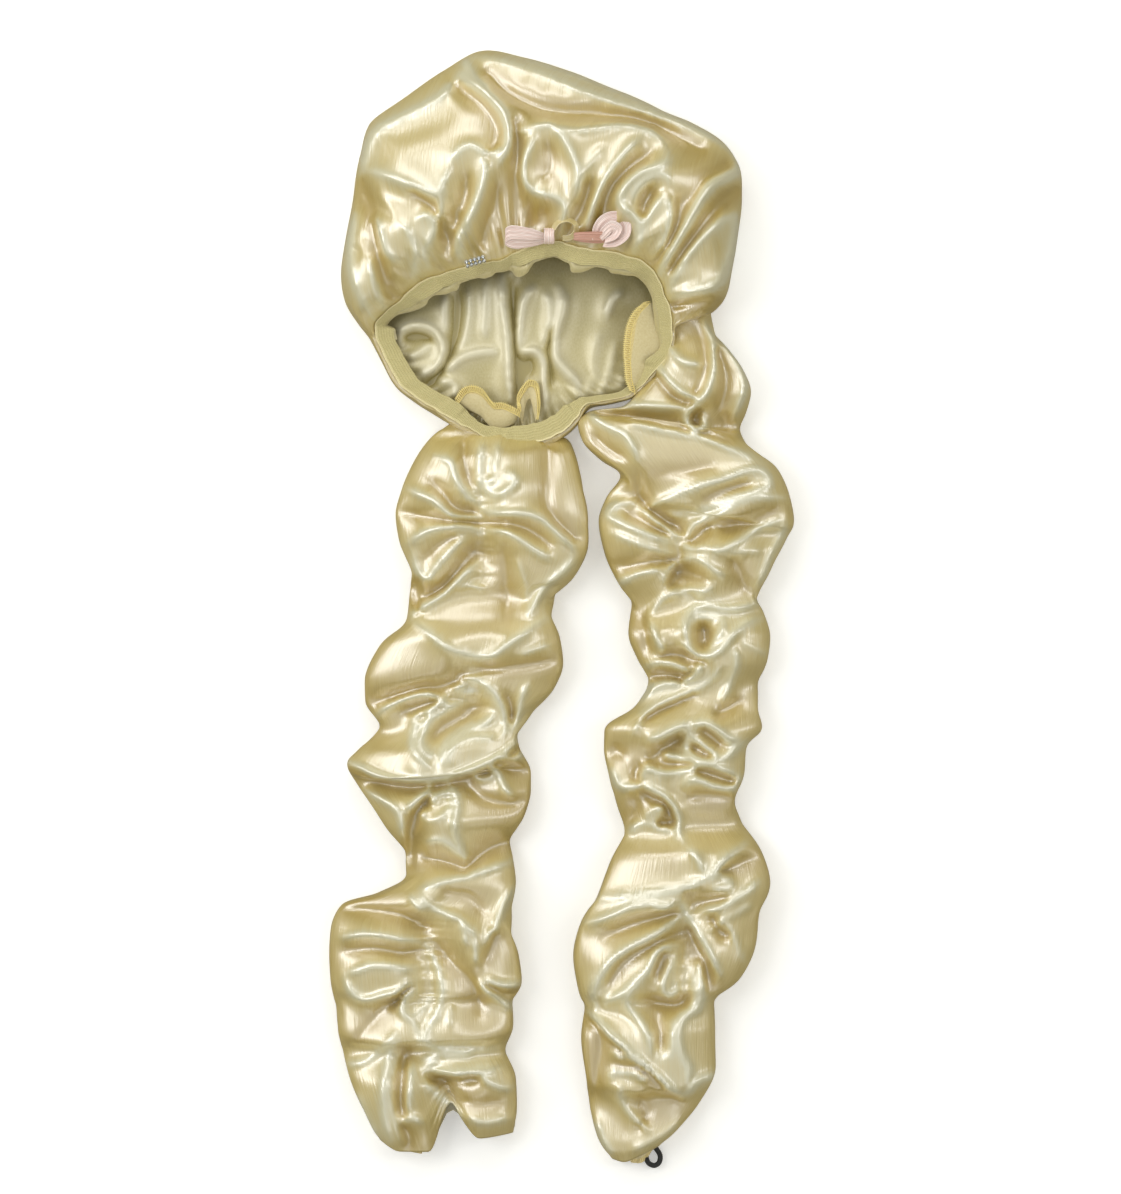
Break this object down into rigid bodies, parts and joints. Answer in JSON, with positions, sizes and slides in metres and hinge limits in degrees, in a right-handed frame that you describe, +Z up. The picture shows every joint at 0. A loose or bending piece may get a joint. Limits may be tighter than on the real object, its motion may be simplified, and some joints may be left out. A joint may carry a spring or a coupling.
{
  "type": "sleep bonnet with hair sleeves",
  "caption": "Satin sleep bonnet lying flat with a knitted elastic band round its opening and long ruched satin sleeves for hair.",
  "frame": {"origin": "on the floor, under the middle of the whole object's box", "axes": "+Z up from the floor, +Y from the sleeves' hems to the cap, +X to the right as the opening is seen from above"},
  "size_m": [0.3136, 0.7642, 0.0678],
  "materials": {
    "satin": "smooth champagne polyester satin",
    "knit_elastic": "matte knitted elastic",
    "overlocked_edge": "overlocked satin edge",
    "ribbon": "pink satin ribbon",
    "crystal": "silver cup chain with clear stones",
    "black_elastic": "woven black elastic"
  },
  "bodies": {
    "root": {"crown": "satin", "elastic_band": "knit_elastic", "left_sleeve": "satin", "right_sleeve": "satin", "left_seam_frill": "overlocked_edge", "middle_seam_frill": "overlocked_edge", "right_seam_frill": "overlocked_edge", "bow_left_loop": "ribbon", "bow_right_loop": "ribbon", "bow_knot": "ribbon", "bow_tail": "ribbon", "crystal_trim": "crystal", "hair_loop": "black_elastic"}
  },
  "joints": []
}
